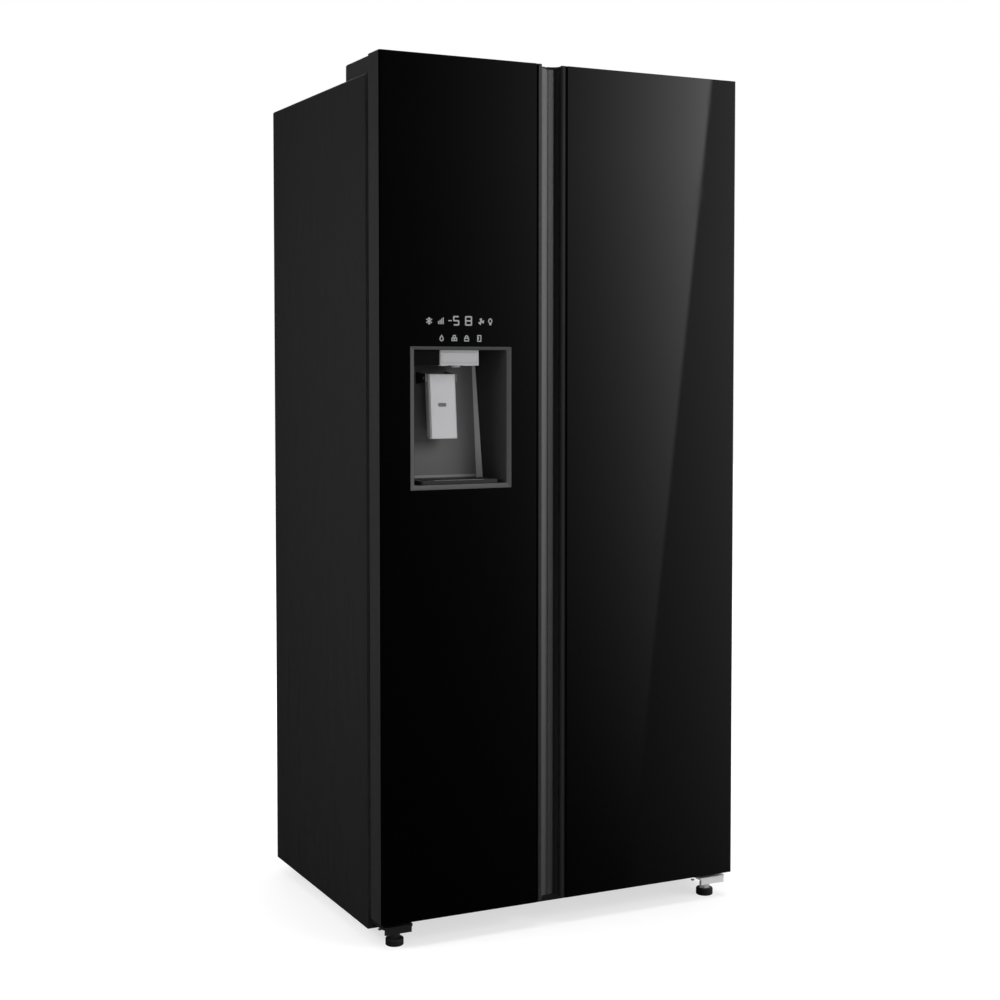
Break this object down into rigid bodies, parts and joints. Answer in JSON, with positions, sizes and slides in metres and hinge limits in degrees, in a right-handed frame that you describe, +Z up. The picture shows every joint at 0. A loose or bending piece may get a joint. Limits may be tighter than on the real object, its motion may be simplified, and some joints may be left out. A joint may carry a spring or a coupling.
{
  "type": "side by side refrigerator",
  "caption": "Side by side refrigerator with black glass doors, a grip channel between them, a dispenser with a lever in the left door, drawers, shelves and door bins.",
  "frame": {"origin": "on the floor, under the middle of the outline", "axes": "+X to the right as seen from the front, -Y out of the doors, +Z up"},
  "size_m": [0.83, 0.638, 1.7859],
  "materials": {
    "black_sheet": "satin",
    "black_glass": "gloss",
    "black_plastic": "satin",
    "door_side": "satin",
    "grip_satin": "satin",
    "grey_trim": "satin",
    "silver": "satin",
    "zinc": "satin",
    "galvanised": "satin",
    "white_liner": "satin",
    "foam": "matte",
    "grey_seal": "matte",
    "black_rubber": "matte",
    "shelf_glass": "gloss",
    "clear_plastic": "gloss",
    "copper": "satin",
    "black_paint": "satin"
  },
  "bodies": {
    "cabinet": {"outer_shell": "black_sheet", "base_pan": "galvanised", "cabinet_foam": "foam", "freezer_liner": "white_liner", "fridge_liner": "white_liner", "back_panel": "galvanised", "machine_cover": "black_paint", "compressor": "black_paint", "condenser_coil": "copper", "condenser_fan_shroud": "black_plastic", "freezer_air_panel": "white_liner", "evaporator_coil": "galvanised", "fridge_air_tower": "white_liner", "ice_maker": "white_liner", "freezer_shelf_lower": "shelf_glass", "freezer_shelf_upper": "shelf_glass", "crisper_cover": "shelf_glass", "fridge_shelf_middle": "shelf_glass", "fridge_shelf_upper": "shelf_glass", "upper_hinge_left": "zinc", "upper_hinge_right": "zinc", "hinge_cover_left": "black_plastic", "hinge_cover_right": "black_plastic", "lower_hinge_left": "zinc", "lower_hinge_right": "zinc"},
    "freezer_door": {"freezer_door_glass": "black_glass", "freezer_door_frame": "door_side", "freezer_door_grip": "grip_satin", "freezer_door_core": "foam", "freezer_door_liner": "white_liner", "freezer_door_seal": "grey_seal", "dispenser_bezel": "grey_trim", "dispenser_recess": "black_plastic", "nozzle_housing": "silver", "display_module": "black_plastic", "freezer_door_bin_1": "clear_plastic", "freezer_door_bin_2": "clear_plastic", "freezer_door_bin_3": "clear_plastic"},
    "fridge_door": {"fridge_door_glass": "black_glass", "fridge_door_frame": "door_side", "fridge_door_grip": "grip_satin", "fridge_door_core": "foam", "fridge_door_liner": "white_liner", "fridge_door_seal": "grey_seal", "fridge_door_bin_1": "clear_plastic", "fridge_door_bin_2": "clear_plastic", "fridge_door_bin_3": "clear_plastic"},
    "paddle": {"dispenser_paddle": "silver"},
    "drip_tray": {"drip_tray": "grey_trim"},
    "condenser_fan": {"condenser_fan": "black_plastic"},
    "freezer_fan": {"freezer_fan": "black_plastic"},
    "foot_left": {"foot_left": "black_rubber"},
    "foot_right": {"foot_right": "black_rubber"},
    "roller_left": {"roller_left": "black_rubber"},
    "roller_right": {"roller_right": "black_rubber"},
    "freezer_drawer_lower": {"freezer_drawer_lower": "clear_plastic"},
    "freezer_drawer_upper": {"freezer_drawer_upper": "clear_plastic"},
    "ice_bucket": {"ice_bucket": "clear_plastic"},
    "crisper_lower": {"crisper_lower": "clear_plastic"},
    "crisper_upper": {"crisper_upper": "clear_plastic"}
  },
  "joints": [
    {"name": "freezer_door_hinge", "type": "hinge", "parent": "cabinet", "child": "freezer_door", "pos_m": [-0.395, -0.285, 1], "axis": [0, 0, -1], "range_deg": [0, 120]},
    {"name": "fridge_door_hinge", "type": "hinge", "parent": "cabinet", "child": "fridge_door", "pos_m": [0.395, -0.285, 1], "axis": [0, 0, 1], "range_deg": [0, 120]},
    {"name": "paddle_pivot", "type": "hinge", "parent": "freezer_door", "child": "paddle", "pos_m": [-0.256, -0.249, 1.142], "axis": [1, 0, 0], "range_deg": [0, 12], "stiffness_Nm_per_rad": 0.5, "springref_deg": -11.46},
    {"name": "drip_tray_slide", "type": "slide", "parent": "freezer_door", "child": "drip_tray", "axis": [0, -1, 0], "range_m": [0, 0.06]},
    {"name": "condenser_fan_spin", "type": "hinge", "parent": "cabinet", "child": "condenser_fan", "pos_m": [0.06, 0.219, 0.143], "axis": [1, 0, 0], "continuous": true},
    {"name": "freezer_fan_spin", "type": "hinge", "parent": "cabinet", "child": "freezer_fan", "pos_m": [-0.212, 0.22, 1.4355], "axis": [0, 1, 0], "continuous": true},
    {"name": "foot_left_turn", "type": "hinge", "parent": "cabinet", "child": "foot_left", "pos_m": [-0.371, -0.279, 0.02], "axis": [0, 0, 1], "continuous": true},
    {"name": "foot_right_turn", "type": "hinge", "parent": "cabinet", "child": "foot_right", "pos_m": [0.371, -0.279, 0.02], "axis": [0, 0, 1], "continuous": true},
    {"name": "roller_left_spin", "type": "hinge", "parent": "cabinet", "child": "roller_left", "pos_m": [-0.36, 0.285, 0.012], "axis": [1, 0, 0], "continuous": true},
    {"name": "roller_right_spin", "type": "hinge", "parent": "cabinet", "child": "roller_right", "pos_m": [0.36, 0.285, 0.012], "axis": [1, 0, 0], "continuous": true},
    {"name": "freezer_drawer_lower_slide", "type": "slide", "parent": "cabinet", "child": "freezer_drawer_lower", "axis": [0, -1, 0], "range_m": [0, 0.21]},
    {"name": "freezer_drawer_upper_slide", "type": "slide", "parent": "cabinet", "child": "freezer_drawer_upper", "axis": [0, -1, 0], "range_m": [0, 0.21]},
    {"name": "ice_bucket_slide", "type": "slide", "parent": "cabinet", "child": "ice_bucket", "axis": [0, -1, 0], "range_m": [0, 0.21]},
    {"name": "crisper_lower_slide", "type": "slide", "parent": "cabinet", "child": "crisper_lower", "axis": [0, -1, 0], "range_m": [0, 0.21]},
    {"name": "crisper_upper_slide", "type": "slide", "parent": "cabinet", "child": "crisper_upper", "axis": [0, -1, 0], "range_m": [0, 0.21]}
  ],
  "couplings": [
    {"joint": "freezer_drawer_lower_slide", "follows": "freezer_door_hinge", "m_per_rad": 0.1},
    {"joint": "freezer_drawer_upper_slide", "follows": "freezer_door_hinge", "m_per_rad": 0.1},
    {"joint": "ice_bucket_slide", "follows": "freezer_door_hinge", "m_per_rad": 0.1},
    {"joint": "crisper_lower_slide", "follows": "fridge_door_hinge", "m_per_rad": 0.1},
    {"joint": "crisper_upper_slide", "follows": "fridge_door_hinge", "m_per_rad": 0.1}
  ]
}
